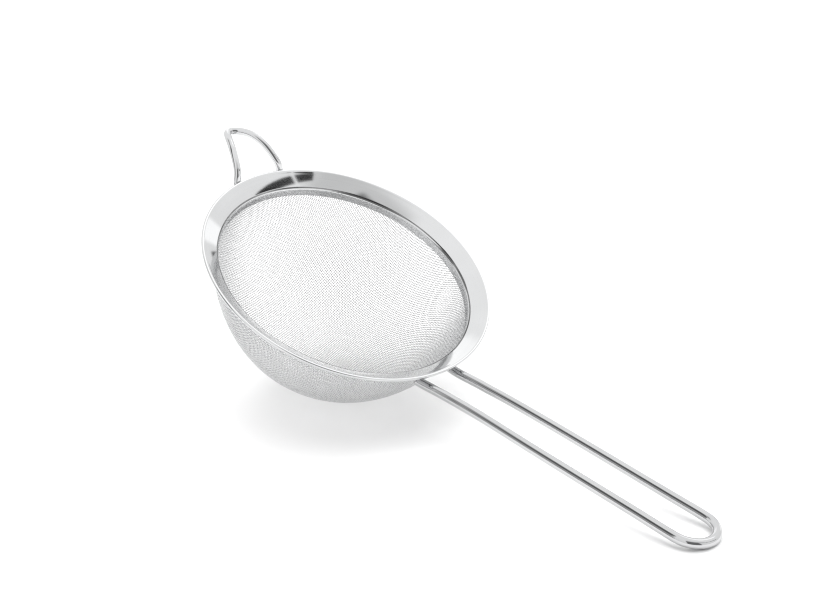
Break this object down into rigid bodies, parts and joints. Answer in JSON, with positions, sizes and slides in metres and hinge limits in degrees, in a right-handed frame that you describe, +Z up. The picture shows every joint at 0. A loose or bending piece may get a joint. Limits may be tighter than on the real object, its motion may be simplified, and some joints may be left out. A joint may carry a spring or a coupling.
{
  "type": "tea strainer",
  "caption": "Round wire-cloth tea strainer with a funnel rim, a deep woven bowl, a looped wire handle and a bent wire rest hook.",
  "frame": {"origin": "centre of the bounding box in X and Y, on the table plane, with the strainer resting on its bowl and on the end of its handle", "axes": "+X towards the end of the handle, +Z up, the XZ plane is the plane of symmetry"},
  "size_m": [0.1872, 0.0906, 0.0741],
  "materials": {
    "rim_steel": "polished",
    "cloth_steel": "bright drawn wire",
    "ring_steel": "satin",
    "wire_steel": "polished",
    "hook_steel": "polished"
  },
  "bodies": {
    "root": {"rim": "rim_steel", "mesh_basket": "cloth_steel", "clamp_ring": "ring_steel", "handle_wire": "wire_steel", "rest_hook": "hook_steel"}
  },
  "joints": []
}
